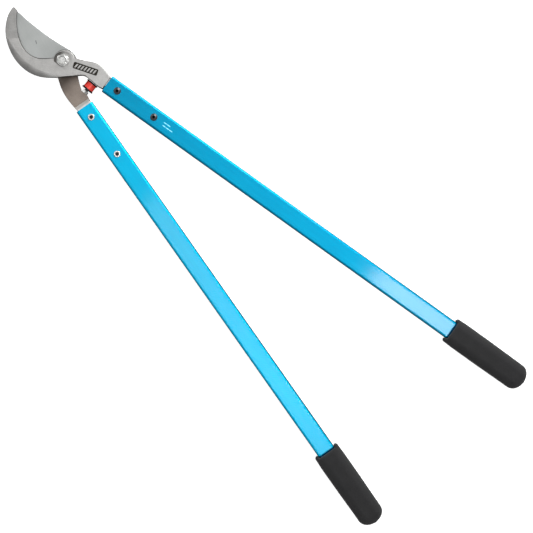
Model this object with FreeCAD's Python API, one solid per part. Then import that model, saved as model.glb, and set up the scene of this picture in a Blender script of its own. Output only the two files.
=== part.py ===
# Bypass loppers: a hook jaw and a cutting blade on one pivot bolt, two tube handles with foam grips.
# Millimetres. The pivot axis is Z, +X points along the closed jaws, and the tool lies flat on Z = 0.
import FreeCAD, Part
import math
import os
from FreeCAD import Placement, Rotation, Vector

# Levels above the ground
mid_z = 13.0                 # shear plane between the jaws, and the centre plane of both handles
jaw_gap = 0.05               # each jaw stands this far off the shear plane
hook_thickness = 8.0
blade_thickness = 6.6
washer_thickness = 1.4
fit = 0.02                   # clearance between pieces that are pressed or screwed together

# Pivot
pivot_diameter = 9.5
pivot_clearance = 0.05       # radial, between the bolt and what turns on it
bushing_diameter = 13.0
washer_diameter = 22.0
bolt_head_across = 16.0
bolt_head_height = 4.75
nut_across = 14.3
nut_height = 7.0
nut_collar_height = 2.2
nut_turn = 7.7               # degrees, so that a flat lies along the locking shoulder
spot_depth = 2.5
spot_radius = 11.6
shoulder_distance = 8.0
boss_centre = (-1.2, -1.6)
boss_radius = 13.8
heel_radius = 16.5

# Long rounding of the hook's belly, turned round this centre
belly_centre = (40.5, -43.1)
belly_radius = 78.2          # where the rounding leaves the flat face
belly_round = 19.0           # radius of its section
belly_start = 4.0            # degrees, its slope where it leaves the flat face

# Cutting edge: an arc, ground on the underside as a cone
edge_centre = (38.6, -25.9)
edge_radius = 58.8
edge_start = 23.7            # degrees, the blade's tip
edge_end = 112.0             # degrees, where the ground bevel stops
edge_land = 0.2
edge_break = 0.5             # rounding of the blade's edges that don't cut
bevel_width = 14.0

# Handles: angle of the handle's direction, distance of its axis from the pivot, tube mouth and length
handle_angle = {"hook": 189.65, "blade": 170.35}
handle_offset = {"hook": 8.9, "blade": -12.0}
tube_mouth = {"hook": 63.5, "blade": 64.5}
tube_length = {"hook": 643.3, "blade": 636.5}
tube_width = 24.4
tube_height = 13.0
tube_corner = 3.0
tube_wall = 1.6
tongue_width = 20.8
tongue_height = 9.6
tongue_depth = 90.0          # how far the forged tongue reaches into the tube
hook_shoulder = 62.6
hook_neck_width = 18.0
blade_shoulder = 62.5
ramp_start = 57.4
ramp_length = 5.8

# Handle fasteners
screw_stations = (16.0, 74.0)
screw_diameter = 5.0
screw_head_diameter = 9.4
screw_head_height = 2.7
socket_across = 3.6
sleeve_diameter = 6.5
sleeve_flange_diameter = 8.6
sleeve_flange_height = 1.2

# Grips
grip_width = 35.6
grip_height = 26.0
grip_corner = 12.0
grip_length = {"hook": 115.0, "blade": 111.5}
grip_end_wall = 14.0
grip_end_round = 11.5
grip_lip_round = 2.4
plug_depth = 18.0
plug_flange = 2.0

# Bumper: buffer between the tangs, standing on a flat of the blade's tang
strike_point = (-46.0, -7.5)
bumper_angle = 95.2          # degrees, direction from the hook's tang to the blade's tang
bumper_gap = 0.3
bumper_disc_diameter = 16.0
bumper_disc_thickness = 2.0
bumper_rubber_diameter = 14.0
bumper_rubber_length = 8.0
bumper_stud_diameter = 5.0
bumper_stud_bare = 1.9
bumper_nut_across = 8.0
bumper_nut_height = 3.4
bumper_stud_depth = 12.0

# Raised bars in the recessed panel on the hook's tang
panel_centre = (-28.1, -13.1)
panel_angle = 206.6
panel_length = 33.0
panel_width = 8.6
panel_depth = 0.9
panel_bars = 7

hook_bottom = mid_z + jaw_gap
hook_top = hook_bottom + hook_thickness
blade_top = mid_z - jaw_gap
blade_bottom = blade_top - blade_thickness
bumper_z = (blade_top + blade_bottom) / 2
nut_seat = hook_top - spot_depth
up = Vector(0, 0, 1)
along = Vector(1, 0, 0)


def polar(centre, radius, angle):
    turn = math.radians(angle)
    return (centre[0] + radius * math.cos(turn), centre[1] + radius * math.sin(turn))


def to_row(side, station, across):
    """A point of a handle's own frame, given in the row frame."""
    turn = math.radians(handle_angle[side])
    x = station * math.cos(turn) - across * math.sin(turn)
    y = station * math.sin(turn) + across * math.cos(turn)
    return (x, y)


def place_handle(shape, side):
    shape.Placement = Placement(Vector(0, 0, 0), Rotation(up, handle_angle[side])) * shape.Placement
    return shape


def flat(point):
    return Vector(point[0], point[1], 0)


def curve(points):
    spline = Part.BSplineCurve()
    spline.interpolate([flat(p) for p in points])
    return spline.toShape()


def line(start, end):
    return Part.makeLine(flat(start), flat(end))


def arc(start, middle, end):
    return Part.Arc(flat(start), flat(middle), flat(end)).toShape()


def extrude(edges, bottom, top):
    wire = Part.Wire(Part.__sortEdges__(edges))
    face = Part.Face(wire)
    face.translate(Vector(0, 0, bottom))
    return face.extrude(Vector(0, 0, top - bottom))


def rounded_bar(start, end, width, height, corner, across):
    """A bar along a handle's axis with rounded long edges."""
    bar = Part.makeBox(end - start, width, height,
                       Vector(start, across - width / 2, mid_z - height / 2))
    long_edges = [e for e in bar.Edges if abs(e.tangentAt(e.FirstParameter).x) > 0.9]
    return bar.makeFillet(corner, long_edges)


def cylinder(diameter, bottom, top, centre=(0, 0)):
    return Part.makeCylinder(diameter / 2, top - bottom, Vector(centre[0], centre[1], bottom))


def hexagon(across, bottom, top, turn=0.0, centre=(0, 0)):
    corner = across / math.sqrt(3)
    points = [flat(polar(centre, corner, turn + 60 * i)) for i in range(7)]
    face = Part.Face(Part.makePolygon(points))
    face.translate(Vector(0, 0, bottom))
    return face.extrude(Vector(0, 0, top - bottom))


def chamfered_hexagon(across, bottom, top, turn=0.0, both=True):
    """A hexagon whose corners are turned off by 30 degree cones."""
    corner = across / math.sqrt(3)
    rise = (corner - across / 2) * 0.6
    height = top - bottom
    cone_top = Part.makeCone(corner, across / 2, rise, Vector(0, 0, top - rise))
    middle = cylinder(2 * corner, bottom + (rise if both else 0), top - rise)
    blank = middle.fuse(cone_top)
    if both:
        blank = blank.fuse(Part.makeCone(across / 2, corner, rise, Vector(0, 0, bottom)))
    return hexagon(across, bottom, top, turn).common(blank)


def side_prism(points, across_from, across_to):
    """A prism drawn in a handle's side view and extruded across the handle."""
    corners = [Vector(x, across_from, z) for x, z in points]
    face = Part.Face(Part.makePolygon(corners + corners[:1]))
    return face.extrude(Vector(0, across_to - across_from, 0))


def hook_outline():
    neck = hook_neck_width / 2
    low = to_row("hook", hook_shoulder, handle_offset["hook"] - neck)
    high = to_row("hook", hook_shoulder, handle_offset["hook"] + neck)
    strike_turn = math.radians(bumper_angle - 90)
    strike = (math.cos(strike_turn), math.sin(strike_turn))
    flat_start = (strike_point[0] + 9.5 * strike[0], strike_point[1] + 9.5 * strike[1])
    flat_end = (strike_point[0] - 9.5 * strike[0], strike_point[1] - 9.5 * strike[1])
    tip = (95.0, -2.2)
    tip_inner = (93.2, -4.0)
    inner_start = (88.2, -3.8)
    boss_low = polar(boss_centre, boss_radius, 32)
    boss_high = polar(boss_centre, boss_radius, 240)
    belly = [tip, (92.1, 8.7), (85.0, 19.9), (75.8, 28.9), (64.6, 36.0), (51.6, 41.3), (35.8, 43.7),
             (19.4, 41.6), (6.9, 35.8), (-7.7, 23.0), (-20.4, 8.4), (-27.0, 0.4), (-31.6, -4.6), flat_start]
    concave = [boss_low, (18.9, 15.2), (26.5, 21.4), (36.4, 24.8), (45.5, 24.9), (55.5, 21.9),
               (65.6, 16.9), (75.5, 10.0), inner_start]
    top_side = [high, (-52.0, -29.4), (-45.9, -30.1), (-38.0, -29.6), (-30.4, -27.0),
                (-22.2, -21.5), (-14.5, -16.6), boss_high]
    return [
        curve(belly),
        line(flat_start, flat_end),
        line(flat_end, low),
        line(low, high),
        curve(top_side),
        arc(boss_high, polar(boss_centre, boss_radius, 316), boss_low),
        curve(concave),
        line(inner_start, tip_inner),
        arc(tip_inner, (94.5, -3.5), tip),
    ]


def plane_cut(point, run_angle, slope, depth=30.0, reach=120.0):
    """A block that removes what lies above a plane rising from a line. The line passes through
    the point at run_angle, and the plane falls by slope degrees to the line's left."""
    block = Part.makeBox(reach * 2, reach, depth, Vector(-reach, 0, 0))
    block.rotate(Vector(0, 0, 0), along, -slope)
    block.rotate(Vector(0, 0, 0), up, run_angle)
    block.translate(Vector(*point))
    return block


def belly_rounding():
    """What the rounding takes off the belly: all above a turned arc, which fades out at both ends."""
    start = math.radians(belly_start)
    end = math.radians(48)
    middle = (start + end) / 2

    def on_arc(angle):
        reach = belly_radius + belly_round * (math.sin(angle) - math.sin(start))
        return Vector(reach, 0, hook_top - belly_round * (math.cos(start) - math.cos(angle)))

    inner, outer = on_arc(0), on_arc(end)
    top_inner = Vector(inner.x, 0, hook_top + 2)
    top_outer = Vector(outer.x, 0, hook_top + 2)
    edges = [Part.Arc(inner, on_arc(middle), outer).toShape(), Part.makeLine(outer, top_outer),
             Part.makeLine(top_outer, top_inner), Part.makeLine(top_inner, inner)]
    face = Part.Face(Part.Wire(edges))
    face.rotate(Vector(0, 0, 0), up, 36)
    face.translate(flat(belly_centre))
    return face.revolve(flat(belly_centre), up, 108)


def panel_place(shape):
    shape.rotate(Vector(0, 0, 0), up, panel_angle)
    shape.translate(Vector(panel_centre[0], panel_centre[1], 0))
    return shape


def hook_panel():
    """The recessed panel on the tang, and the plain slanted bars that stand in it."""
    floor = hook_top - panel_depth
    pocket = Part.makeBox(panel_length, panel_width, panel_depth + 1,
                          Vector(-panel_length / 2, -panel_width / 2, floor))
    pocket = pocket.makeFillet(1.6, [e for e in pocket.Edges if abs(e.tangentAt(0).z) > 0.9])
    bars = []
    pitch = (panel_length - 4) / panel_bars
    for i in range(panel_bars):
        centre = (i - (panel_bars - 1) / 2) * pitch
        corners = [(centre - 2.1, -2.6), (centre - 0.1, -2.6), (centre + 2.1, 2.6), (centre + 0.1, 2.6)]
        face = Part.Face(Part.makePolygon([flat(p) for p in corners + corners[:1]]))
        face.translate(Vector(0, 0, floor))
        bars.append(panel_place(face.extrude(Vector(0, 0, panel_depth - 0.2))))
    return panel_place(pocket), bars


def spot_face():
    """The seat of the pivot nut, cut off straight on one side by the shoulder that locks a flat."""
    disc = cylinder(2 * spot_radius, nut_seat, hook_top + 1)
    keep = Part.makeBox(60, 40, 20, Vector(-30, -40 + shoulder_distance, nut_seat - 5))
    keep.rotate(Vector(0, 0, 0), up, nut_turn)
    return disc.common(keep)


def hook_jaw():
    plate = extrude(hook_outline(), hook_bottom, hook_top)
    rim = [e for e in plate.Edges if e.BoundBox.ZMin > hook_top - 0.01]
    plate = plate.makeFillet(1.1, rim)
    tongue_low = mid_z - tongue_height / 2
    under = extrude(hook_outline(), tongue_low, hook_bottom + 0.5)
    wedge = side_prism([(45, hook_bottom + 0.5), (45, hook_bottom), (52, tongue_low), (70, tongue_low),
                        (70, hook_bottom + 0.5)], -40, 60)
    under = under.common(place_handle(wedge, "hook"))
    across = handle_offset["hook"]
    neck = Part.makeBox(8, hook_neck_width, tongue_height,
                        Vector(hook_shoulder - 2, across - hook_neck_width / 2, tongue_low))
    tongue = rounded_bar(tube_mouth["hook"] + 3, tube_mouth["hook"] + tongue_depth, tongue_width,
                         tongue_height, 1.5, across)
    jaw = plate.fuse([under, place_handle(neck.fuse(tongue), "hook")])
    # thinned tip, and the long rounding of the belly
    jaw = jaw.cut(plane_cut((65.8, 26.6, hook_top), 230.9, 7.5))
    jaw = jaw.cut(belly_rounding())
    jaw = jaw.cut(spot_face())
    pocket, bars = hook_panel()
    jaw = jaw.cut(pocket).fuse(bars)
    holes = [cylinder(pivot_diameter + 2 * pivot_clearance, 0, 40)]
    for station in screw_stations:
        hole = cylinder(sleeve_diameter + 2 * pivot_clearance, 0, 30,
                        (tube_mouth["hook"] + station, across))
        holes.append(place_handle(hole, "hook"))
    return jaw.cut(holes).removeSplitter()


def blade_outline():
    across = handle_offset["blade"]
    half = tongue_width / 2
    inner = to_row("blade", blade_shoulder, across + half)
    outer = to_row("blade", blade_shoulder, across - half)
    tip = polar(edge_centre, edge_radius, edge_start)
    edge_stop = polar(edge_centre, edge_radius, edge_end)
    edge_middle = polar(edge_centre, edge_radius, (edge_start + edge_end) / 2)
    heel_start = polar((0, 0), heel_radius, 285)
    heel_end = polar((0, 0), heel_radius, 190)
    turn = math.radians(bumper_angle)
    reach = (bumper_gap + 2 * bumper_disc_thickness + bumper_rubber_length + bumper_stud_bare
             + bumper_nut_height)
    seat = (strike_point[0] + reach * math.cos(turn), strike_point[1] + reach * math.sin(turn))
    seat_start = (seat[0] + 5.2 * math.sin(turn), seat[1] - 5.2 * math.cos(turn))
    seat_end = (seat[0] - 5.2 * math.sin(turn), seat[1] + 5.2 * math.cos(turn))
    notch = (7.5, 20.6)
    spine = [tip, (84.0, -3.4), (66.0, -4.5), (49.7, -6.6), (33.7, -8.9), (18.8, -12.3), heel_start]
    inner_side = [heel_end, (-21.5, -1.6), (-27.6, 1.6), (-33.5, 5.3), (-38.2, 7.9), seat_start]
    outer_side = [outer, (-45.8, 31.9), (-36.2, 30.6), (-26.6, 28.2), (-18.8, 25.0), (-10.1, 20.6),
                  (-2.0, 18.3), notch]
    return [
        curve(spine),
        arc(heel_start, polar((0, 0), heel_radius, 238), heel_end),
        curve(inner_side),
        line(seat_start, seat_end),
        line(seat_end, inner),
        line(inner, outer),
        curve(outer_side),
        line(notch, edge_stop),
        arc(edge_stop, edge_middle, tip),
    ]


def edge_bevel():
    """What the grinding takes off under the cutting edge: all outside a cone."""
    span = edge_end - edge_start + 20
    centre = Vector(edge_centre[0], edge_centre[1], blade_bottom - 1)
    ring = Part.makeCylinder(edge_radius + 20, blade_thickness + 1 - edge_land, centre, up, span)
    ring.rotate(centre, up, edge_start - 20)
    slope = bevel_width / (blade_thickness - edge_land)
    cone = Part.makeCone(edge_radius - slope * (blade_thickness + 1 - edge_land), edge_radius,
                         blade_thickness + 1 - edge_land, centre)
    return ring.cut(cone)


def witness_mark():
    """A short shallow groove punched in the blade's flat face."""
    groove = Part.makeBox(5.0, 1.2, 1, Vector(-2.5, -0.6, blade_top - 0.3))
    groove = groove.makeFillet(0.55, [e for e in groove.Edges if abs(e.tangentAt(0).z) > 0.9])
    groove.rotate(Vector(0, 0, 0), up, 149.7)
    groove.translate(Vector(42.4, 8.0, 0))
    return groove


def cutting_blade():
    plate = extrude(blade_outline(), blade_bottom, blade_top)
    rims = [e for e in plate.Edges if e.BoundBox.ZLength < 0.01 and e.Length > 20
            and getattr(e.Curve, "Radius", heel_radius) < edge_radius - 1
            and not isinstance(e.Curve, Part.Line)]
    plate = plate.makeFillet(edge_break, rims)
    plate = plate.cut(edge_bevel()).cut(witness_mark())
    thin = Part.makeBox(80, 80, 10, Vector(0, -40, -10))
    thin.rotate(Vector(0, 0, 0), Vector(0, 1, 0), -4.5)
    thin.translate(Vector(46, 0, blade_bottom))
    plate = plate.cut(thin)
    tongue_low = mid_z - tongue_height / 2
    tongue_high = mid_z + tongue_height / 2
    across = handle_offset["blade"]
    half = tongue_width / 2
    ramp_end = tube_mouth["blade"] - 0.5
    ramp = side_prism([(ramp_start, blade_top), (ramp_start, tongue_low), (ramp_end, tongue_low),
                       (ramp_end, tongue_high), (ramp_start + ramp_length, tongue_high)],
                      across - half, across + half)
    tongue = rounded_bar(blade_shoulder, tube_mouth["blade"] + tongue_depth, tongue_width,
                         tongue_height, 1.5, across)
    blade = plate.fuse(place_handle(ramp.fuse(tongue), "blade"))
    turn = math.radians(bumper_angle)
    reach = (bumper_gap + 2 * bumper_disc_thickness + bumper_rubber_length + bumper_stud_bare
             + bumper_nut_height)
    start = Vector(strike_point[0] + (reach - 1) * math.cos(turn),
                   strike_point[1] + (reach - 1) * math.sin(turn), bumper_z)
    stud_hole = Part.makeCylinder(bumper_stud_diameter / 2 + fit, bumper_stud_depth + 2, start,
                                  Vector(math.cos(turn), math.sin(turn), 0))
    holes = [cylinder(bushing_diameter + 2 * fit, 0, 40), stud_hole]
    for station in screw_stations:
        hole = cylinder(sleeve_diameter + 2 * pivot_clearance, 0, 30,
                        (tube_mouth["blade"] + station, across))
        holes.append(place_handle(hole, "blade"))
    return blade.cut(holes).removeSplitter()


def handle_tube(side):
    start = tube_mouth[side]
    end = start + tube_length[side]
    across = handle_offset[side]
    tube = rounded_bar(start, end, tube_width, tube_height, tube_corner, across)
    bore = rounded_bar(start - 1, end + 1, tube_width - 2 * tube_wall, tube_height - 2 * tube_wall,
                       tube_corner - tube_wall, across)
    tube = tube.cut(bore)
    for station in screw_stations:
        tube = tube.cut(cylinder(sleeve_diameter + 2 * pivot_clearance, 0, 30, (start + station, across)))
    return place_handle(tube, side)


def flip(shape):
    """Turns a fastener end for end about the handle's centre plane."""
    return shape.mirror(Vector(0, 0, mid_z), up)


def button_screw(centre):
    seat = mid_z + tube_height / 2
    width = screw_head_diameter / 2
    rise = screw_head_height - 0.5
    ball = (width ** 2 + rise ** 2) / (2 * rise)
    dome = Part.makeSphere(ball, Vector(centre[0], centre[1], seat + screw_head_height - ball))
    head = cylinder(screw_head_diameter, seat, seat + screw_head_height, centre).common(dome)
    shank = cylinder(screw_diameter, mid_z - tube_height / 2 - 0.3, seat, centre)
    socket = hexagon(socket_across, seat + 0.9, seat + 4, 0, centre)
    return head.fuse(shank).cut(socket)


def sleeve_nut(centre):
    seat = mid_z - tube_height / 2
    flange = cylinder(sleeve_flange_diameter, seat - sleeve_flange_height, seat, centre)
    rim = [e for e in flange.Edges if e.BoundBox.ZMax < seat - sleeve_flange_height + 0.01]
    flange = flange.makeFillet(0.5, rim)
    barrel = cylinder(sleeve_diameter, seat - 0.1, seat + tube_height - 1.2, centre)
    return flange.fuse(barrel).cut(cylinder(screw_diameter + 2 * fit, 0, 30, centre))


def handle_fasteners(side, make):
    pieces = []
    for station in screw_stations:
        piece = make((tube_mouth[side] + station, handle_offset[side]))
        if side == "blade":
            piece = flip(piece)
        pieces.append(place_handle(piece, side))
    return Part.makeCompound(pieces)


def tube_plug(side):
    end = tube_mouth[side] + tube_length[side]
    across = handle_offset[side]
    body = rounded_bar(end - plug_depth, end, tube_width - 2 * tube_wall - 2 * fit,
                       tube_height - 2 * tube_wall - 2 * fit, 1.6, across)
    flange = rounded_bar(end + fit, end + plug_flange, tube_width - 1, tube_height - 1, 2.5, across)
    neck = rounded_bar(end - 1, end + 1, tube_width - 6, tube_height - 6, 1.3, across)
    return place_handle(body.fuse([neck, flange]), side)


def grip(side):
    inner_end = tube_mouth[side] + tube_length[side] + plug_flange
    end = inner_end + grip_end_wall
    across = handle_offset[side]
    start = end - grip_length[side]
    sleeve = rounded_bar(start, end, grip_width, grip_height, grip_corner, across)
    end_rim = [e for e in sleeve.Edges if e.BoundBox.XMin > end - 0.01]
    sleeve = sleeve.makeFillet(grip_end_round, end_rim)
    mouth_rim = [e for e in sleeve.Edges if e.BoundBox.XMax < start + 0.01]
    sleeve = sleeve.makeFillet(grip_lip_round, mouth_rim)
    bore = rounded_bar(start - 1, inner_end + fit, tube_width + 2 * fit,
                       tube_height + 2 * fit, tube_corner, across)
    return place_handle(sleeve.cut(bore), side)


def pivot_bolt():
    head = chamfered_hexagon(bolt_head_across, 0, bolt_head_height, 0, False)
    head = head.mirror(Vector(0, 0, bolt_head_height / 2), up)
    top = nut_seat + nut_height + nut_collar_height - 0.6
    shank = cylinder(pivot_diameter, bolt_head_height - 0.5, top)
    rim = [e for e in shank.Edges if e.BoundBox.ZMin > top - 0.01]
    return head.fuse(shank.makeChamfer(0.8, rim))


def pivot_washer():
    ring = cylinder(washer_diameter, bolt_head_height + fit, bolt_head_height + washer_thickness)
    return ring.cut(cylinder(pivot_diameter + 2 * pivot_clearance, 0, 20))


def pivot_nut():
    top = nut_seat + nut_height
    body = chamfered_hexagon(nut_across, nut_seat + fit, top, nut_turn)
    collar = cylinder(nut_across - 1.4, top - 1.0, top + nut_collar_height)
    rim = [e for e in collar.Edges if e.BoundBox.ZMin > top + nut_collar_height - 0.01]
    nut = body.fuse(collar.makeFillet(0.9, rim))
    nut = nut.cut(cylinder(nut_across - 3.0, top, top + nut_collar_height - 0.5))
    return nut.cut(cylinder(pivot_diameter + 2 * fit, 0, 40))


def pivot_nut_insert():
    top = nut_seat + nut_height
    ring = cylinder(nut_across - 3.0 - 2 * fit, top + fit, top + nut_collar_height - 0.6)
    return ring.cut(cylinder(pivot_diameter + 2 * fit, 0, 40))


def pivot_bushing():
    ring = cylinder(bushing_diameter, blade_bottom, blade_top)
    return ring.cut(cylinder(pivot_diameter + 2 * pivot_clearance, 0, 20))


def on_bumper_axis(shape):
    """Turns a piece made along +X from the strike flat into its place between the tangs."""
    shape.rotate(Vector(0, 0, 0), up, bumper_angle)
    shape.translate(Vector(strike_point[0], strike_point[1], bumper_z))
    return shape


def axial(diameter, start, end):
    return Part.makeCylinder(diameter / 2, end - start, Vector(start, 0, 0), along)


def bumper_parts():
    strike_end = bumper_gap + bumper_disc_thickness
    rubber_end = strike_end + bumper_rubber_length
    seat_end = rubber_end + bumper_disc_thickness
    nut_start = seat_end + bumper_stud_bare
    nut_end = nut_start + bumper_nut_height
    strike = axial(bumper_disc_diameter, bumper_gap, strike_end)
    strike = strike.makeFillet(0.5, [e for e in strike.Edges if e.BoundBox.XLength < 0.01])
    rubber = axial(bumper_rubber_diameter, strike_end + fit, rubber_end - fit)
    seat = axial(bumper_disc_diameter, rubber_end, seat_end)
    seat = seat.makeFillet(0.5, [e for e in seat.Edges if e.BoundBox.XLength < 0.01])
    stud = axial(bumper_stud_diameter, seat_end - 0.5, nut_end + bumper_stud_depth)
    nut = hexagon(bumper_nut_across, nut_start, nut_end - fit)
    nut = nut.cut(cylinder(bumper_stud_diameter + 2 * fit, 0, 40))
    nut.rotate(Vector(0, 0, 0), Vector(0, 1, 0), 90)
    return {
        "bumper_strike_disc": on_bumper_axis(strike),
        "bumper_rubber": on_bumper_axis(rubber),
        "bumper_seat_disc": on_bumper_axis(seat.fuse(stud)),
        "bumper_lock_nut": on_bumper_axis(nut),
    }


def build():
    parts = {
        "hook_jaw": hook_jaw(),
        "cutting_blade": cutting_blade(),
        "pivot_bolt": pivot_bolt(),
        "pivot_washer": pivot_washer(),
        "pivot_bushing": pivot_bushing(),
        "pivot_nut": pivot_nut(),
        "pivot_nut_insert": pivot_nut_insert(),
    }
    for side in ("hook", "blade"):
        parts[side + "_handle_tube"] = handle_tube(side)
        parts[side + "_handle_screws"] = handle_fasteners(side, button_screw)
        parts[side + "_handle_sleeve_nuts"] = handle_fasteners(side, sleeve_nut)
        parts[side + "_handle_end_plug"] = tube_plug(side)
        parts[side + "_grip"] = grip(side)
    parts.update(bumper_parts())
    return parts


os.makedirs("parts", exist_ok=True)
for name, shape in build().items():
    solids = len(shape.Solids)
    print(f"{name}: {solids} solid(s), {shape.Volume / 1000:.2f} cm3, valid {shape.isValid()}")
    shape.exportStep(f"parts/{name}.step")
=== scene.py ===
# Bypass loppers: looks for the forged hook, the ground blade, the two tube handles and their foam grips.
# Metres throughout. The tool lies flat on Z = 0, with the pivot on the Z axis.
import math

import bmesh
import bpy
from mathutils import Matrix, Vector, noise


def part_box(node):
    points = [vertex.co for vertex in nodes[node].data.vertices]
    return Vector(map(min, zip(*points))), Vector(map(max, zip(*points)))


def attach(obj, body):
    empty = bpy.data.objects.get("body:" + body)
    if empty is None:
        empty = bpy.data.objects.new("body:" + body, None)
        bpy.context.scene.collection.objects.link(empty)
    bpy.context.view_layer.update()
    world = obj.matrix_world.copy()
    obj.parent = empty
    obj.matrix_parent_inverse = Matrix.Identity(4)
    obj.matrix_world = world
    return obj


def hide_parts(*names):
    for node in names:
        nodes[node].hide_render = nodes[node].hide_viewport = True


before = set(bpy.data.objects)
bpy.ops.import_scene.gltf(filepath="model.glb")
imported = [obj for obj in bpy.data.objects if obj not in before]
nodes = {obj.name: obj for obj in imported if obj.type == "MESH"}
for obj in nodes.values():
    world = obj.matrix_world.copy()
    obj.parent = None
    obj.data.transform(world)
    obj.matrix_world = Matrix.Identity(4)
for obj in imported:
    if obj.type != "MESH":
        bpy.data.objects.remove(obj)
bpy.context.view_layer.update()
scene = bpy.context.scene
mm = 0.001
print("frame loaded:", len(nodes), "CAD nodes")


studio = {
    "lookAt": (-0.3726, 0.0004, 0.014),     # middle of the view
    "cameraHeight": 2.2,
    "viewWidth": 0.6876,                    # what the view takes in at that point
    "turn": 225.28,                         # degrees from +X to the view's right hand side
    "sensorWidth": 36,                      # millimetres
    "floorColour": "#F7F7F6",
    "floorMirrored": "#7C7C7C",             # what the tool itself mirrors of it
    "floorRadius": 14.0,
    "floorDrop": 0.3 * mm,                  # keeps it off the faces that rest on Z = 0
    "floorGlow": 0.78,                      # a light table: it washes out most of the shadow
    "backdrop": 0.85,                       # radiance of the sky as the view sees it
    "skyTop": 0.30,                         # radiance overhead and at the horizon, as the tool mirrors it
    "skyLow": 0.60,
    "skyFade": (0.15, 0.85),                # the heights between which one passes into the other
}


def linearColour(code):
    # an sRGB hex code as the linear colour that a socket holds
    channels = [int(code[i:i + 2], 16) / 255 for i in (1, 3, 5)]
    return [c / 12.92 if c <= 0.04045 else ((c + 0.055) / 1.055) ** 2.4 for c in channels] + [1.0]


def setInputs(tree, node, inputs):
    # an input is a number, a vector, a colour code, or the output of another node
    for socket, value in inputs.items():
        if isinstance(value, bpy.types.NodeSocket):
            tree.links.new(value, node.inputs[socket])
        elif isinstance(value, str):
            node.inputs[socket].default_value = linearColour(value)
        else:
            node.inputs[socket].default_value = value


def addNode(tree, kind, settings={}, inputs={}):
    node = tree.nodes.new(kind)
    for name, value in settings.items():
        setattr(node, name, value)
    setInputs(tree, node, inputs)
    return node


def startMaterial(name, inputs):
    material = bpy.data.materials.new(name)
    material.use_nodes = True
    shader = material.node_tree.nodes["Principled BSDF"]
    setInputs(material.node_tree, shader, inputs)
    return material, material.node_tree, shader


def makeCamera():
    data = bpy.data.cameras.new("camera")
    data.sensor_width = studio["sensorWidth"]
    data.lens = data.sensor_width * (studio["cameraHeight"] - studio["lookAt"][2]) / studio["viewWidth"]
    data.clip_end = 60
    camera = bpy.data.objects.new("camera", data)
    scene.collection.objects.link(camera)
    camera.location = (studio["lookAt"][0], studio["lookAt"][1], studio["cameraHeight"])
    camera.rotation_euler = (0, 0, math.radians(studio["turn"]))
    scene.camera = camera


def makeFloor():
    mesh = bpy.data.meshes.new("floor")
    shape = bmesh.new()
    bmesh.ops.create_circle(shape, cap_ends=True, segments=96, radius=studio["floorRadius"])
    shape.to_mesh(mesh)
    shape.free()
    mesh.transform(Matrix.Translation((studio["lookAt"][0], 0, -studio["floorDrop"])))
    floor = bpy.data.objects.new("floor", mesh)
    scene.collection.objects.link(floor)
    # matt white acrylic table, lit a little from below; the tool itself mirrors a greyer table
    material, tree, shader = startMaterial("mattWhiteTable", {
        "Base Color": studio["floorColour"], "Roughness": 0.9, "Specular IOR Level": 0.1,
        "Emission Color": "#FFFFFF", "Emission Strength": studio["floorGlow"]})
    grey = addNode(tree, "ShaderNodeBsdfDiffuse", {}, {"Color": studio["floorMirrored"]})
    seen = addNode(tree, "ShaderNodeLightPath")
    mixed = addNode(tree, "ShaderNodeMixShader", {}, {
        0: seen.outputs["Is Camera Ray"], 1: grey.outputs[0], 2: shader.outputs[0]})
    setInputs(tree, tree.nodes["Material Output"], {"Surface": mixed.outputs[0]})
    mesh.materials.append(material)


def makeSky():
    world = bpy.data.worlds.new("studioSky")
    world.use_nodes = True
    tree = world.node_tree
    tree.nodes.clear()
    coords = addNode(tree, "ShaderNodeTexCoord")
    split = addNode(tree, "ShaderNodeSeparateXYZ", {}, {0: coords.outputs["Generated"]})
    rise = addNode(tree, "ShaderNodeMapRange", {"interpolation_type": "SMOOTHSTEP"}, {
        "Value": split.outputs["Z"], "From Min": studio["skyFade"][0], "From Max": studio["skyFade"][1],
        "To Min": studio["skyLow"], "To Max": studio["skyTop"]})
    seen = addNode(tree, "ShaderNodeLightPath")
    level = addNode(tree, "ShaderNodeMix", {"data_type": "FLOAT"}, {
        0: seen.outputs["Is Camera Ray"], 2: rise.outputs[0], 3: studio["backdrop"]})
    light = addNode(tree, "ShaderNodeBackground", {}, {"Color": "#FFFFFF", "Strength": level.outputs[0]})
    addNode(tree, "ShaderNodeOutputWorld", {}, {"Surface": light.outputs[0]})
    scene.world = world


softboxes = {
    # centre, the point it aims at, (width, height), turn about its own axis in degrees, radiance
    "overHead": ((0.12, -0.25, 2.4), (0.12, -0.25, 0.0), (1.25, 1.3), 0.0, 0.86),
    "overHandles": ((-0.95, -0.15, 2.4), (-0.95, -0.15, 0.0), (0.8, 1.1), 0.0, 0.60),
    "hookGripStrip": ((-0.745, -0.211, 2.3), (-0.745, -0.211, 0.0), (0.32, 0.09), 9.65, 58.0),
    "bladeGripStrip": ((-0.50, 0.176, 2.3), (-0.50, 0.176, 0.0), (0.95, 0.08), -9.65, 9.5),
    "lineLight": ((-0.70, -2.1, 2.6), (-0.40, 0.0, 0.0), (1.1, 0.8), 0.0, 7.0),
    "edgeWall": ((0.22, -1.5, 1.15), (0.22, 0.0, 1.15), (0.8, 2.1), 0.0, 7.5),
    "headCard": ((1.6, 0.1, 0.5), (0.0, 0.0, 0.1), (1.2, 0.8), 0.0, 1.2),
}


def makeSoftbox(name, place, target, size, turn, radiance):
    data = bpy.data.lights.new(name, "AREA")
    data.shape = "RECTANGLE"
    data.size, data.size_y = size
    data.energy = radiance * math.pi * size[0] * size[1]
    lamp = bpy.data.objects.new(name, data)
    scene.collection.objects.link(lamp)
    back = (Vector(place) - Vector(target)).normalized()
    lamp.location = place
    lamp.rotation_euler = (back.to_track_quat("Z", "Y").to_matrix()
                           @ Matrix.Rotation(math.radians(turn), 3, "Z")).to_euler()


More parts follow.
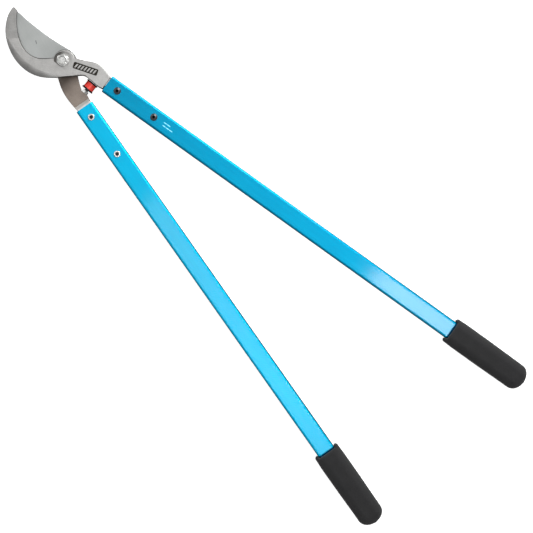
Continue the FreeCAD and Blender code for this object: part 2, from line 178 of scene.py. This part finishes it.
makeCamera()
makeFloor()
makeSky()
for name, box in softboxes.items():
    makeSoftbox(name, *box)
scene.view_settings.view_transform = "Standard"
print("studio ready:", len(softboxes), "softboxes")


finishes = {}


def newFinish(name, inputs):
    finishes[name], tree, shader = startMaterial(name, inputs)
    return tree, shader


def objectPoint(tree, centre=(0, 0, 0), turn=0.0, stretch=(1, 1, 1)):
    # the piece's own point, in a frame centred and turned to suit, then stretched along its axes
    coords = addNode(tree, "ShaderNodeTexCoord")
    local = addNode(tree, "ShaderNodeMapping", {"vector_type": "TEXTURE"}, {
        "Location": centre, "Rotation": (0, 0, math.radians(turn)), "Vector": coords.outputs["Object"]})
    return addNode(tree, "ShaderNodeMapping", {}, {"Scale": stretch, "Vector": local.outputs[0]}).outputs[0]


def grain(tree, size, detail=2.0, rough=0.5, turn=0.0, stretch=(1, 1, 1)):
    # uneven pattern on the piece whose features are about size metres wide
    return addNode(tree, "ShaderNodeTexNoise", {}, {
        "Scale": 1 / size, "Detail": detail, "Roughness": rough,
        "Vector": objectPoint(tree, turn=turn, stretch=stretch)}).outputs["Fac"]


def facing(tree):
    # 1 where the surface faces straight up, -1 where it faces straight down
    normal = addNode(tree, "ShaderNodeNewGeometry").outputs["Normal"]
    return addNode(tree, "ShaderNodeSeparateXYZ", {}, {0: normal}).outputs["Z"]


def passing(tree, *ranges):
    # a range is a value, where it counts as 0 and where as 1, or two other results; ranges are multiplied
    product = None
    for value, low, high, *results in ranges:
        toLow, toHigh = results or (0.0, 1.0)
        part = addNode(tree, "ShaderNodeMapRange", {"clamp": True}, {
            "Value": value, "From Min": low, "From Max": high, "To Min": toLow, "To Max": toHigh}).outputs[0]
        if product:
            part = addNode(tree, "ShaderNodeMath", {"operation": "MULTIPLY"}, {
                0: product, 1: part}).outputs[0]
        product = part
    return product


def paint(tree, colour, over, *ranges):
    # the second colour laid over the first, as far as the ranges let it
    return addNode(tree, "ShaderNodeMix", {"data_type": "RGBA"}, {
        0: passing(tree, *ranges), 6: colour, 7: over}).outputs[2]


def insideBox(tree, point, low, high):
    # 1 inside a box in the point's frame, 0 outside
    inside = 1.0
    axes = addNode(tree, "ShaderNodeSeparateXYZ", {}, {0: point}).outputs
    for axis, start, end in zip(axes, low, high):
        between = addNode(tree, "ShaderNodeMath", {"operation": "COMPARE"}, {
            0: axis, 1: (start + end) / 2, 2: (end - start) / 2})
        inside = addNode(tree, "ShaderNodeMath", {"operation": "MULTIPLY"}, {
            0: inside, 1: between.outputs[0]}).outputs[0]
    return inside


def relief(tree, depth, pattern, other=0.0, share=0.0):
    # bumps of that depth in metres, from one pattern and a share of another
    height = addNode(tree, "ShaderNodeMath", {"operation": "MULTIPLY_ADD"}, {0: other, 1: share, 2: pattern})
    return addNode(tree, "ShaderNodeBump", {}, {
        "Strength": 1.0, "Distance": depth, "Height": height.outputs[0]}).outputs[0]


handles = {
    # the handle's direction in degrees, then distances from the pivot: sideways to the handle's middle,
    # and along it to the foam's mouth, the foam's end and the end of the foam's bore
    "hook": {"body": "hook_side", "turn": 189.65, "across": 8.9 * mm, "gripMouth": 610.1 * mm,
             "gripEnd": 724.3 * mm, "boreEnd": 708.8 * mm},
    "blade": {"body": "blade_side", "turn": 170.35, "across": -12.0 * mm, "gripMouth": 608.6 * mm,
              "gripEnd": 718.7 * mm, "boreEnd": 703.0 * mm},
}
tubeLook = {
    # both tubes are one anodised blue: the hook side's darker dyes are painted shade, the blade side's
    # lighter ones painted light
    "hook": {"name": "blueAnodisedHookSideShaded", "dyes": ("#0186AB", "#018DB2", "#007FA8"), "coat": 0.1},
    "blade": {"name": "blueAnodisedBladeSideLit", "dyes": ("#01A6CE", "#01ACD4", "#009DC6"), "coat": 0.15},
    # painted shade for the rounded long edges, and a painted shadow of the foam's mouth on the tube
    "edgeShade": "#004A60", "mouthShadow": "#012A42",
    "mouthShadowFade": (3.0 * mm, 1.6 * mm),       # how far before the foam the painted shadow begins, and is full
    "dieLine": 0.9 * mm,                    # drawn coarser than the real 0.2 mm lines
    "cloud": 9 * mm,
    "relief": 0.02 * mm,
}
tubeMarks = {
    "colour": "#8FE6FF", "halfWidth": 0.55 * mm, "height": (19.45 * mm, 20.5 * mm),
    # how far across the handle's own frame each row lies, and where its bars start and end
    "rows": [(11.1 * mm, [(152.2 * mm, 156.2 * mm), (157.0 * mm, 161.8 * mm)]),
             (7.0 * mm, [(152.8 * mm, 157.3 * mm), (158.1 * mm, 162.6 * mm), (163.4 * mm, 167.9 * mm)])],
}


def anodisedTube(side):
    # extruded aluminium, etched matt and anodised blue: satin metal with faint lengthwise die lines
    look, turn, mouth = tubeLook[side], handles[side]["turn"], handles[side]["gripMouth"]
    tree, shader = newFinish(look["name"], {
        "Metallic": 1.0, "Roughness": 0.42, "Anisotropic": 0.75,
        "Coat Weight": look["coat"], "Coat Roughness": 0.08, "Coat IOR": 1.65})
    # the die lines run lengthwise, so the shine spreads across the tube
    across = (-math.sin(math.radians(turn)), math.cos(math.radians(turn)), 0)
    spread = addNode(tree, "ShaderNodeVectorTransform",
                     {"vector_type": "VECTOR", "convert_from": "OBJECT", "convert_to": "WORLD"},
                     {"Vector": across})
    dieLines = grain(tree, tubeLook["dieLine"], 3.0, turn=turn, stretch=(0.02, 1, 1))
    cloud = grain(tree, tubeLook["cloud"], 3.0, turn=turn, stretch=(0.3, 1, 1))
    colour = paint(tree, look["dyes"][0], look["dyes"][1], (dieLines, 0.35, 0.65))
    colour = paint(tree, colour, look["dyes"][2], (cloud, 0.3, 0.7, 0.0, 0.25))
    # painted shade darkens the rounded long edges, and a painted shadow of the foam darkens a narrow band
    # before its mouth
    colour = paint(tree, colour, tubeLook["edgeShade"], (facing(tree), 0.8, 0.1, 0.0, 0.85))
    point = objectPoint(tree, turn=turn)
    station = addNode(tree, "ShaderNodeSeparateXYZ", {}, {0: point}).outputs["X"]
    shadowStart, shadowFull = [mouth - before for before in tubeLook["mouthShadowFade"]]
    colour = paint(tree, colour, tubeLook["mouthShadow"], (station, shadowStart, shadowFull))
    if side == "hook":
        # rows of short plain bars etched through the colour, beside the second screw
        low, high = tubeMarks["height"]
        for row, bars in tubeMarks["rows"]:
            for start, end in bars:
                bar = insideBox(tree, point, (start, row - tubeMarks["halfWidth"], low),
                                (end, row + tubeMarks["halfWidth"], high))
                colour = paint(tree, colour, tubeMarks["colour"], (bar, 0.0, 1.0))
    setInputs(tree, shader, {
        "Base Color": colour, "Tangent": spread.outputs[0],
        # the coat fades out over the same band of painted shadow
        "Coat Weight": passing(tree, (station, shadowStart, shadowFull, look["coat"], 0.0)),
        "Normal": relief(tree, tubeLook["relief"], dieLines, cloud, 2.0)})


hookLook = {
    "ground": ("#B3B2B0", "#C3C2C0"), "pits": "#8C8B89", "scuffs": "#D2D1CF",
    "shadedSlopes": "#6F6D6A", "shadedSides": "#3B3937", "innerEdgeShade": "#343230", "seat": "#62605D",
    "neck": "#1E1D1C", "panel": "#35332F",
    "grit": 0.9 * mm,                       # blast grit, drawn at twice its size
    "patch": 11 * mm, "scuff": 1.1 * mm, "relief": 0.05 * mm,
    "mouthCentre": (40.5 * mm, -43.1 * mm, 0),      # of the arc that the inner edge follows
    "innerEdgeFade": (73 * mm, 71 * mm),            # distance from that centre
    "innerEdgeStart": (10 * mm, 16 * mm),           # along X, past the boss
    "seatFade": (12.2 * mm, 11.4 * mm),             # distance from the pivot
    "seatDrop": (0.2 * mm, 0.8 * mm),               # below the top face
    "seatLee": (-1.0 * mm, 5.0 * mm), "shadowTurn": 35,    # the side of the seat where the nut's painted shadow is darker
    "neckStart": (-55 * mm, -56 * mm), "neckTop": (18.6 * mm, 18.2 * mm),
    "panelCentre": (-28.1 * mm, -13.1 * mm, 0), "panelTurn": 206.6,
    "panelHalfLength": 16.6 * mm, "panelHalfWidth": 4.4 * mm, "panelDrop": (1.5 * mm, 0.5 * mm),
}


def forgedHook():
    # drop-forged carbon steel, shot-blasted then ground on its faces: soft grey, darker where only forged,
    # with painted shade and shadow on slopes, edges, seat and neck
    look = hookLook
    tree, shader = newFinish("forgedSteel", {"Metallic": 1.0})
    point = addNode(tree, "ShaderNodeSeparateXYZ", {}, {0: objectPoint(tree)}).outputs
    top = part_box("hook_jaw")[1].z
    grit = grain(tree, look["grit"], 2.0, 0.7)
    patches = grain(tree, look["patch"], 4.0, 0.6)
    scuffs = grain(tree, look["scuff"], 3.0, turn=35, stretch=(0.08, 1, 1))
    colour = paint(tree, look["ground"][0], look["ground"][1], (patches, 0.3, 0.7))
    colour = paint(tree, colour, look["pits"], (grit, 0.35, 0.7, 0.0, 0.35))
    colour = paint(tree, colour, look["scuffs"], (scuffs, 0.55, 0.75, 0.0, 0.3))
    # painted shade darkens the slopes; the sides partly keep the forging scale and partly carry painted
    # shade
    up = facing(tree)
    colour = paint(tree, colour, look["shadedSlopes"], (up, 0.97, 0.86, 0.0, 0.55))
    colour = paint(tree, colour, look["shadedSides"], (up, 0.84, 0.5))
    # painted shade darkens the fillet along the inner edge, where the hook meets the blade
    fromCentre = addNode(tree, "ShaderNodeVectorMath", {"operation": "LENGTH"}, {
        0: objectPoint(tree, look["mouthCentre"], stretch=(1, 1, 0))}).outputs["Value"]
    colour = paint(tree, colour, look["innerEdgeShade"], (fromCentre, *look["innerEdgeFade"]),
                   (point["X"], *look["innerEdgeStart"]), (up, 0.985, 0.9))
    # painted shadow of the nut on its seat, darkest on the side away from the light
    fromPivot = addNode(tree, "ShaderNodeVectorMath", {"operation": "LENGTH"}, {
        0: objectPoint(tree, stretch=(1, 1, 0))}).outputs["Value"]
    shadowSide = addNode(tree, "ShaderNodeSeparateXYZ", {}, {
        0: objectPoint(tree, turn=look["shadowTurn"])}).outputs["X"]
    seatHigh, seatLow = [top - drop for drop in look["seatDrop"]]
    colour = paint(tree, colour, look["seat"], (fromPivot, *look["seatFade"]),
                   (point["Z"], seatHigh, seatLow), (shadowSide, *look["seatLee"], 0.1, 1.0))
    # painted shadow darkens the neck where it enters the tube
    colour = paint(tree, colour, look["neck"], (point["X"], *look["neckStart"]),
                   (point["Z"], *look["neckTop"]))
    # the floor of the recessed panel keeps its black forging scale
    panelLow, panelHigh = [top - drop for drop in look["panelDrop"]]
    panel = insideBox(tree, objectPoint(tree, look["panelCentre"], look["panelTurn"]),
                      (-look["panelHalfLength"], -look["panelHalfWidth"], panelLow),
                      (look["panelHalfLength"], look["panelHalfWidth"], panelHigh))
    colour = paint(tree, colour, look["panel"], (panel, 0.0, 1.0))
    setInputs(tree, shader, {
        "Base Color": colour, "Roughness": passing(tree, (patches, 0.25, 0.75, 0.33, 0.45)),
        "Normal": relief(tree, look["relief"], grit, patches, 3.0)})


bladeLook = {
    "ground": ("#B6B9B7", "#BDBFBE"), "cloudy": "#A9ADAB", "faceShade": "#8C8E8D",
    "tang": ("#8A7F77", "#9A8F86"), "tangPits": "#6E645C", "hookShadow": "#5A524C",
    "groove": "#858786", "shadedSides": "#6A655F", "ramp": "#D8D6D2", "bevel": "#CDD1CF",
    "wheelMark": 0.8 * mm,                  # drawn coarser than the real grinding marks
    "patch": 16 * mm, "grit": 1.0 * mm, "relief": 0.02 * mm,
    "pivotShade": (40 * mm, 22 * mm), "tipShade": (74 * mm, 90 * mm),
    "tangFade": (-2 * mm, -14 * mm),        # along X, where the heat treatment's brown begins and is full
    "hookShadowFade": (-34 * mm, -20 * mm),
    "grooveCentre": (42.4 * mm, 8.0 * mm, 12.75 * mm), "grooveTurn": 149.7,
    "grooveReach": (3.21 * mm, 3.19 * mm), "grooveDepth": (0.15 * mm, 0.05 * mm),
    "rampFoot": (13.05 * mm, 13.4 * mm),
}


def groundBlade():
    # hardened tool steel, surface-ground and oiled: even cool grey, with a brown heat-treated tang
    look = bladeLook
    tree, shader = newFinish("groundBladeSteel", {"Metallic": 1.0})
    place = objectPoint(tree)
    point = addNode(tree, "ShaderNodeSeparateXYZ", {}, {0: place}).outputs
    lines = grain(tree, look["wheelMark"], 3.0, turn=-14, stretch=(0.03, 1, 1))
    patches = grain(tree, look["patch"], 3.0)
    grit = grain(tree, look["grit"], 2.0)
    ground = paint(tree, look["ground"][0], look["ground"][1], (lines, 0.3, 0.7))
    ground = paint(tree, ground, look["cloudy"], (patches, 0.3, 0.7, 0.0, 0.4))
    # painted shade darkens the face round the pivot and towards the tip
    fromPivot = addNode(tree, "ShaderNodeVectorMath", {"operation": "LENGTH"}, {0: place}).outputs["Value"]
    ground = paint(tree, ground, look["faceShade"], (fromPivot, *look["pivotShade"], 0.0, 0.4))
    ground = paint(tree, ground, look["faceShade"], (point["X"], *look["tipShade"], 0.0, 0.5))
    # painted shadow darkens the tang where the hook lies over it
    tang = paint(tree, look["tang"][0], look["tang"][1], (patches, 0.35, 0.65))
    tang = paint(tree, tang, look["tangPits"], (grit, 0.4, 0.7, 0.0, 0.35))
    tang = paint(tree, tang, look["hookShadow"], (point["X"], *look["hookShadowFade"]))
    colour = paint(tree, ground, tang, (point["X"], *look["tangFade"]))
    # painted shade darkens the inside of the punched witness groove
    groove = objectPoint(tree, look["grooveCentre"], look["grooveTurn"])
    reach = addNode(tree, "ShaderNodeVectorMath", {"operation": "LENGTH"}, {0: groove}).outputs["Value"]
    level = addNode(tree, "ShaderNodeSeparateXYZ", {}, {0: groove}).outputs["Z"]
    colour = paint(tree, colour, look["groove"], (reach, *look["grooveReach"]),
                   (level, *look["grooveDepth"]))
    up = facing(tree)
    upOrDown = addNode(tree, "ShaderNodeMath", {"operation": "ABSOLUTE"}, {0: up}).outputs[0]
    colour = paint(tree, colour, look["shadedSides"], (upOrDown, 0.7, 0.3, 0.0, 0.75))
    # the ramp up to the tube is milled bright and carries a painted highlight as well, and the bevel
    # underneath is bright too
    colour = paint(tree, colour, look["ramp"], (point["Z"], *look["rampFoot"]), (up, 0.3, 0.5))
    colour = paint(tree, colour, look["bevel"], (up, -0.96, -0.94), (up, -0.5, -0.7))
    setInputs(tree, shader, {
        "Base Color": colour, "Roughness": passing(tree, (point["X"], *look["tangFade"], 0.34, 0.5)),
        "Normal": relief(tree, look["relief"], lines, grit, 0.5)})


smallMetals = {
    # electroplated zinc with a clear passivate: bright, slightly milky
    "brightZinc": {"shades": ("#B8B8B6", "#E0E0DE"), "rough": 0.22, "cloud": 1.6 * mm, "relief": 0.03 * mm},
    # phosphated steel: flat black, slightly rough
    "blackPhosphate": {"shades": ("#2A2A2B", "#363637"), "rough": 0.45, "cloud": 1.2 * mm,
                       "relief": 0.03 * mm},
    # sintered bronze: dull, open-grained
    "sinteredBronze": {"shades": ("#8F6A3A", "#A67C46"), "rough": 0.5, "cloud": 1.5 * mm,
                       "relief": 0.03 * mm},
    # black oxide button heads: dark satin, with painted shade filling their sockets
    "blackOxideSocketHeads": {"shades": ("#505052", "#626264"), "rough": 0.38, "cloud": 2.0 * mm,
                              "relief": 0.015 * mm, "socketShade": "#050505", "socket": (1.2 * mm, 1.3 * mm)},
}


def plainMetal(name):
    # a small part of one metal: cloudy colour between two shades, and uneven gloss
    look = smallMetals[name]
    tree, shader = newFinish(name, {"Metallic": 1.0})
    cloud = grain(tree, look["cloud"], 3.0)
    colour = paint(tree, look["shades"][0], look["shades"][1], (cloud, 0.3, 0.7))
    if "socketShade" in look:
        # the socket's floor, painted dark as shade, lies this far below the top of the heads
        level = addNode(tree, "ShaderNodeSeparateXYZ", {}, {0: objectPoint(tree)}).outputs["Z"]
        floorHigh, floorLow = [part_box("hook_handle_screws")[1].z - drop for drop in look["socket"]]
        colour = paint(tree, colour, look["socketShade"], (level, floorHigh, floorLow), (facing(tree), 0.8, 0.9))
    setInputs(tree, shader, {
        "Base Color": colour,
        "Roughness": passing(tree, (cloud, 0.2, 0.8, look["rough"] - 0.05, look["rough"] + 0.08)),
        "Normal": relief(tree, look["relief"], grain(tree, look["cloud"] / 4))})


plastics = {
    # natural nylon 6: milky, a little see-through
    "naturalNylon": {"shades": ("#DEDCD2", "#E9E7DF"), "rough": 0.45, "seeThrough": 0.2,
                     "relief": 0.01 * mm},
    # cast polyurethane: strong red, satin
    "redPolyurethane": {"shades": ("#F2382C", "#FA4A3E"), "rough": 0.34, "seeThrough": 0.1,
                        "relief": 0.03 * mm},
    # moulded polypropylene plug: dull black
    "blackPolypropylene": {"shades": ("#19191A", "#222223"), "rough": 0.5, "seeThrough": 0.0,
                           "relief": 0.02 * mm},
}
plasticCloud = 3 * mm


def plainPlastic(name):
    look = plastics[name]
    tree, shader = newFinish(name, {
        "Roughness": look["rough"], "IOR": 1.5, "Subsurface Weight": look["seeThrough"]})
    cloud = grain(tree, plasticCloud, 3.0)
    setInputs(tree, shader, {
        "Base Color": paint(tree, look["shades"][0], look["shades"][1], (cloud, 0.3, 0.7)),
        "Normal": relief(tree, look["relief"], grain(tree, plasticCloud / 3, 3.0))})


foamLook = {
    "shades": ("#101012", "#161618"), "pores": "#0B0B0C",
    "cell": 1.1 * mm,                       # cells of 0.4 mm, drawn coarser
    "cloud": 14 * mm, "fine": 0.7 * mm, "relief": 0.12 * mm,
}


def foamRubber():
    # closed-cell foam rubber sleeve: nearly black, dead matt, with fine open pores
    look = foamLook
    tree, shader = newFinish("foamRubber", {
        "Roughness": 0.85, "IOR": 1.5, "Sheen Weight": 0.12, "Sheen Roughness": 0.6})
    pores = addNode(tree, "ShaderNodeTexVoronoi", {"feature": "F1"}, {
        "Scale": 1 / look["cell"], "Vector": objectPoint(tree)}).outputs["Distance"]
    colour = paint(tree, look["shades"][0], look["shades"][1], (grain(tree, look["cloud"], 4.0), 0.3, 0.7))
    colour = paint(tree, colour, look["pores"], (pores, 0.25, 0.05, 0.0, 0.5))
    setInputs(tree, shader, {
        "Base Color": colour,
        "Normal": relief(tree, look["relief"], pores, grain(tree, look["fine"]), 1.0)})


for side in handles:
    anodisedTube(side)
forgedHook()
groundBlade()
for name in smallMetals:
    plainMetal(name)
for name in plastics:
    plainPlastic(name)
foamRubber()
print("finishes ready:", len(finishes))


nodeFinish = {
    "hook_jaw": "forgedSteel", "cutting_blade": "groundBladeSteel",
    "pivot_bolt": "brightZinc", "pivot_washer": "brightZinc", "pivot_nut": "brightZinc",
    "pivot_bushing": "sinteredBronze", "pivot_nut_insert": "naturalNylon",
    "hook_handle_tube": "blueAnodisedHookSideShaded", "blade_handle_tube": "blueAnodisedBladeSideLit",
    "hook_handle_screws": "blackOxideSocketHeads", "blade_handle_screws": "blackPhosphate",
    "hook_handle_sleeve_nuts": "brightZinc", "blade_handle_sleeve_nuts": "brightZinc",
    "hook_handle_end_plug": "blackPolypropylene", "blade_handle_end_plug": "blackPolypropylene",
    "bumper_strike_disc": "blackPhosphate", "bumper_seat_disc": "blackPhosphate",
    "bumper_rubber": "redPolyurethane", "bumper_lock_nut": "brightZinc",
}
for name, finish in nodeFinish.items():
    for slot in nodes[name].material_slots:
        slot.material = finishes[finish]
print("CAD nodes finished:", len(nodeFinish))


gripShape = {
    "outside": (35.6 * mm, 26.0 * mm, 12.0 * mm),   # width, height and corner radius
    "bore": (24.44 * mm, 13.04 * mm, 3.0 * mm),
    "midZ": 13.0 * mm,
    "boreRing": 12 * mm,            # past the mouth, where the bore turns out into the lip
    "lipForward": 3.4 * mm,         # the narrow sides reach this much further over the tube
    "lipSpan": (12.3 * mm, 14.3 * mm),      # sideways, where the lip leaves the mouth and is full
    "lipRound": 2.8 * mm,
    "flare": 0.45 * mm,             # the sleeve is this much slimmer at the mouth
    "flareShare": 0.16,             # over this share of its length
    "taper": 0.55 * mm,             # and this much slimmer at the end
    "taperFrom": 0.35,
    "domeDepth": 13.9 * mm,
    "endShort": 0.4 * mm,           # the dome stops this far short of the foam's end
    "nibHeight": 0.6 * mm, "nibRadius": 1.8 * mm,   # moulding nib in the middle of the dome
    "swell": 0.10 * mm, "swellSize": 9.0 * mm,
    "swellRise": (0.4 * mm, 3.0 * mm),      # none on the flat that the tool lies on
    "trueRings": 6,                 # nor on the rings of the bore and the inside of the lip
    "around": 128, "lipSteps": 12, "bodySteps": 40, "domeSteps": 24,
}


def sectionRadius(direction, width, height, corner):
    # distance from the centre to a rounded rectangle's outline
    c, s = abs(math.cos(direction)), abs(math.sin(direction))
    halfWidth, halfHeight = width / 2, height / 2
    flatReach = halfWidth / c if c * halfHeight > s * halfWidth else halfHeight / s
    cornerX, cornerY = halfWidth - corner, halfHeight - corner
    if flatReach * c <= cornerX or flatReach * s <= cornerY:
        return flatReach
    along = c * cornerX + s * cornerY
    off = cornerX * cornerX + cornerY * cornerY - corner * corner
    return along + math.sqrt(max(along * along - off, 0.0))


def smooth(value, low, high):
    t = min(max((value - low) / (high - low), 0.0), 1.0)
    return t * t * (3 - 2 * t)


def gripRings(side):
    # rings of points along the handle: up the bore, round the lip, along the body and over the dome
    shape, place = gripShape, handles[side]
    count = shape["around"]
    directions = [2 * math.pi * (i + 0.5) / count for i in range(count)]
    outer = [sectionRadius(d, *shape["outside"]) for d in directions]
    inner = [sectionRadius(d, *shape["bore"]) for d in directions]
    rings = []

    def ring(stations, radii):
        rings.append([(s, r * math.cos(d), r * math.sin(d)) for s, r, d in zip(stations, radii, directions)])

    ring([place["boreEnd"]] * count, inner)
    ring([place["gripMouth"] + shape["boreRing"]] * count, inner)
    # the mouth is cupped: straight across the tube's broad faces, forward at its narrow sides
    rims = []
    for d, out, bore in zip(directions, outer, inner):
        sideways = abs(math.cos(d)) * (out + bore) / 2
        rims.append(place["gripMouth"] - shape["lipForward"] * smooth(sideways, *shape["lipSpan"]))
    for step in range(shape["lipSteps"] + 1):
        turn = math.pi * step / shape["lipSteps"]
        outward = (1 - math.cos(turn)) / 2
        ring([rim + shape["lipRound"] * (1 - math.sin(turn)) for rim in rims],
             [bore + (out - shape["flare"] - bore) * outward for bore, out in zip(inner, outer)])
    bodyStarts = [rim + shape["lipRound"] for rim in rims]
    bodyEnd = place["gripEnd"] - shape["endShort"] - shape["domeDepth"]
    for step in range(1, shape["bodySteps"] + 1):
        t = step / shape["bodySteps"]
        slim = (shape["flare"] * (1 - smooth(t, 0.0, shape["flareShare"]))
                + shape["taper"] * smooth(t, shape["taperFrom"], 1.0))
        ring([start + (bodyEnd - start) * t for start in bodyStarts], [out - slim for out in outer])
    for step in range(1, shape["domeSteps"]):
        turn = math.pi / 2 * step / shape["domeSteps"]
        radii = [(out - shape["taper"]) * math.cos(turn) for out in outer]
        nibs = [shape["nibHeight"] * math.exp(-(r / shape["nibRadius"]) ** 2) for r in radii]
        ring([bodyEnd + shape["domeDepth"] * math.sin(turn) + nib for nib in nibs], radii)
    return rings


def makeGrip(side):
    shape, place = gripShape, handles[side]
    toHandle = (Matrix.Rotation(math.radians(place["turn"]), 4, "Z")
                @ Matrix.Translation((0, place["across"], shape["midZ"])))
    build = bmesh.new()
    rows = [[build.verts.new(toHandle @ Vector(point)) for point in ring] for ring in gripRings(side)]
    tip = place["gripEnd"] - shape["endShort"] + shape["nibHeight"]
    pole = build.verts.new(toHandle @ Vector((tip, 0, 0)))
    for i in range(shape["around"]):
        j = (i + 1) % shape["around"]
        for first, second in zip(rows, rows[1:]):
            build.faces.new((first[i], first[j], second[j], second[i]))
        build.faces.new((rows[-1][i], rows[-1][j], pole))
    build.faces.new(list(reversed(rows[0])))
    bmesh.ops.recalc_face_normals(build, faces=build.faces)
    # a moulded sleeve is never dead straight: slight soft swells
    moves = []
    for vert in [v for row in rows[shape["trueRings"]:] for v in row] + [pole]:
        swell = noise.noise(vert.co / shape["swellSize"]) * shape["swell"]
        moves.append((vert, vert.normal * swell * smooth(vert.co.z, *shape["swellRise"])))
    for vert, move in moves:
        vert.co += move
    name = side + "GripFoam"
    mesh = bpy.data.meshes.new(name)
    build.to_mesh(mesh)
    build.free()
    for face in mesh.polygons:
        face.use_smooth = len(face.vertices) <= 4       # all but the flat end of the bore
    mesh.materials.append(finishes["foamRubber"])
    grip = bpy.data.objects.new(name, mesh)
    scene.collection.objects.link(grip)
    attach(grip, place["body"])
    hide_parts(side + "_grip")


for side in handles:
    makeGrip(side)
print("grips ready:", len(handles))


# thread on the bumper's stud, between the seat disc and the lock nut
studThread = {
    "foot": (-46.0 * mm, -7.5 * mm, 9.65 * mm),     # where the bumper's axis meets the hook's tang
    "direction": 95.2,                              # degrees
    "from": 12.45 * mm, "to": 14.1 * mm,            # the bare stretch along that axis
    "coreRadius": 2.5 * mm, "ridgeRadius": 0.24 * mm,
    "pitch": 0.6 * mm,                              # an M5 fine thread is 0.5 mm
    "pointsPerTurn": 40, "shadedSides": 6,
}


def threadTree():
    tree = bpy.data.node_groups.new("threadRidge", "GeometryNodeTree")
    for label in ("Length", "Core Radius", "Ridge Radius", "Pitch"):
        tree.interface.new_socket(label, in_out="INPUT", socket_type="NodeSocketFloat")
    for label in ("Points Per Turn", "Sides"):
        tree.interface.new_socket(label, in_out="INPUT", socket_type="NodeSocketInt")
    tree.interface.new_socket("Finish", in_out="INPUT", socket_type="NodeSocketMaterial")
    tree.interface.new_socket("Geometry", in_out="OUTPUT", socket_type="NodeSocketGeometry")
    given = addNode(tree, "NodeGroupInput").outputs
    turns = addNode(tree, "ShaderNodeMath", {"operation": "DIVIDE"}, {0: given["Length"], 1: given["Pitch"]})
    helix = addNode(tree, "GeometryNodeCurveSpiral", {}, {
        "Resolution": given["Points Per Turn"], "Rotations": turns.outputs[0],
        "Start Radius": given["Core Radius"], "End Radius": given["Core Radius"], "Height": given["Length"]})
    ridge = addNode(tree, "GeometryNodeCurvePrimitiveCircle", {}, {
        "Resolution": given["Sides"], "Radius": given["Ridge Radius"]})
    hookShadow = addNode(tree, "GeometryNodeCurveToMesh", {}, {
        "Curve": helix.outputs[0], "Profile Curve": ridge.outputs[0], "Fill Caps": True})
    real = addNode(tree, "GeometryNodeRealizeInstances", {}, {"Geometry": hookShadow.outputs[0]})
    finished = addNode(tree, "GeometryNodeSetMaterial", {}, {
        "Geometry": real.outputs[0], "Material": given["Finish"]})
    addNode(tree, "NodeGroupOutput", {}, {"Geometry": finished.outputs[0]})
    return tree


def makeStudThread():
    shape = studThread
    given = {
        "Length": shape["to"] - shape["from"], "Core Radius": shape["coreRadius"],
        "Ridge Radius": shape["ridgeRadius"], "Pitch": shape["pitch"],
        "Points Per Turn": shape["pointsPerTurn"], "Sides": shape["shadedSides"],
        "Finish": finishes["brightZinc"],
    }
    blank = bpy.data.objects.new("threadBlank", bpy.data.meshes.new("threadBlank"))
    scene.collection.objects.link(blank)
    modifier = blank.modifiers.new("threadRidge", "NODES")
    modifier.node_group = threadTree()
    for item in modifier.node_group.interface.items_tree:
        if item.in_out == "INPUT":
            modifier[item.identifier] = given[item.name]
    graph = bpy.context.evaluated_depsgraph_get()
    mesh = bpy.data.meshes.new_from_object(blank.evaluated_get(graph))
    bpy.data.objects.remove(blank)
    turn = math.radians(shape["direction"])
    axis = Vector((math.cos(turn), math.sin(turn), 0))
    toStud = axis.to_track_quat("Z", "Y").to_matrix().to_4x4()
    mesh.transform(Matrix.Translation(Vector(shape["foot"]) + axis * shape["from"]) @ toStud)
    mesh.name = "studThread"
    for face in mesh.polygons:
        face.use_smooth = True
    thread = bpy.data.objects.new("studThread", mesh)
    scene.collection.objects.link(thread)
    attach(thread, "blade_side")


makeStudThread()
print("thread ready")
